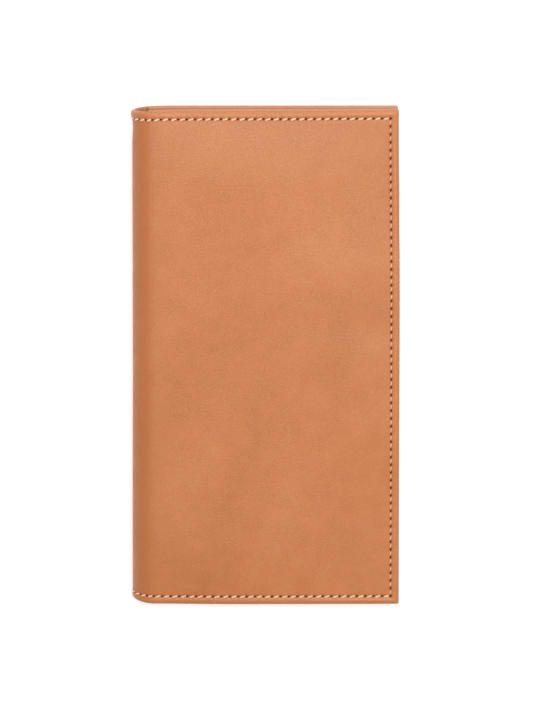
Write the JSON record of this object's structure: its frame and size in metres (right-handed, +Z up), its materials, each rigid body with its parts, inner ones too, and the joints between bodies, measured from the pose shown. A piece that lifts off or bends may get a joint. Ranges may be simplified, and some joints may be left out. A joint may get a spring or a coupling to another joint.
{
  "type": "long wallet",
  "caption": "Long book-style leather wallet, closed, with a stitched edge, card pockets, banknote pockets and a zipped coin pocket inside.",
  "frame": {"origin": "middle of the closed wallet's footprint, on the surface it lies on", "axes": "+X from the spine to the open edge, +Y along the spine, +Z up through the closed covers"},
  "size_m": [0.1, 0.188, 0.016],
  "materials": {
    "tan_leather": "smooth",
    "pale_leather": "smooth",
    "cloth": "woven",
    "thread": "waxed",
    "brass": "polished"
  },
  "bodies": {
    "back": {"back_cover": "tan_leather", "back_divider": "pale_leather", "back_lining": "pale_leather", "back_note_pocket_strips": "pale_leather", "back_paper_pocket_strips": "pale_leather", "back_seam_thread": "thread", "coin_bag_lining": "cloth", "coin_base_panel": "pale_leather", "coin_pocket_front": "tan_leather", "coin_pocket_strips": "tan_leather", "coin_seam_thread": "thread", "slip_pocket": "tan_leather", "zip_header": "tan_leather", "zip_stop_closed": "brass", "zip_stop_open": "brass", "zip_tape_lower": "cloth", "zip_tape_upper": "cloth", "zip_teeth_lower": "brass", "zip_teeth_upper": "brass"},
    "spine_1": {"spine_leather_1": "tan_leather", "spine_lining_1": "pale_leather", "spine_thread_1": "thread"},
    "spine_2": {"spine_leather_2": "tan_leather", "spine_lining_2": "pale_leather", "spine_thread_2": "thread"},
    "spine_3": {"spine_leather_3": "tan_leather", "spine_lining_3": "pale_leather", "spine_thread_3": "thread"},
    "spine_4": {"spine_leather_4": "tan_leather", "spine_lining_4": "pale_leather", "spine_thread_4": "thread"},
    "spine_5": {"spine_leather_5": "tan_leather", "spine_lining_5": "pale_leather", "spine_thread_5": "thread"},
    "front": {"card_base_panel": "pale_leather", "card_pocket_1": "tan_leather", "card_pocket_2": "tan_leather", "card_pocket_3": "tan_leather", "card_pocket_4": "tan_leather", "card_pocket_5": "tan_leather", "card_pocket_6": "tan_leather", "card_pocket_7": "tan_leather", "card_pocket_8": "tan_leather", "card_seam_thread": "thread", "front_cover": "tan_leather", "front_divider": "pale_leather", "front_lining": "pale_leather", "front_note_pocket_strips": "pale_leather", "front_paper_pocket_strips": "pale_leather", "front_seam_thread": "thread"},
    "slider": {"zip_slider": "brass", "zip_puller": "brass"}
  },
  "joints": [
    {"name": "fold_1", "type": "hinge", "parent": "back", "child": "spine_1", "pos_m": [-0.04414, 0, 0], "axis": [0, -1, 0], "range_deg": [0, 30]},
    {"name": "fold_2", "type": "hinge", "parent": "spine_1", "child": "spine_2", "pos_m": [-0.04786, 0, 0.00214], "axis": [0, -1, 0], "range_deg": [0, 30]},
    {"name": "fold_3", "type": "hinge", "parent": "spine_2", "child": "spine_3", "pos_m": [-0.05, 0, 0.00586], "axis": [0, -1, 0], "range_deg": [0, 30]},
    {"name": "fold_4", "type": "hinge", "parent": "spine_3", "child": "spine_4", "pos_m": [-0.05, 0, 0.01014], "axis": [0, -1, 0], "range_deg": [0, 30]},
    {"name": "fold_5", "type": "hinge", "parent": "spine_4", "child": "spine_5", "pos_m": [-0.04786, 0, 0.01386], "axis": [0, -1, 0], "range_deg": [0, 30]},
    {"name": "fold_6", "type": "hinge", "parent": "spine_5", "child": "front", "pos_m": [-0.04414, 0, 0.016], "axis": [0, -1, 0], "range_deg": [0, 30]},
    {"name": "zip_slide", "type": "slide", "parent": "back", "child": "slider", "axis": [-1, 0, 0], "range_m": [0, 0.07]}
  ]
}
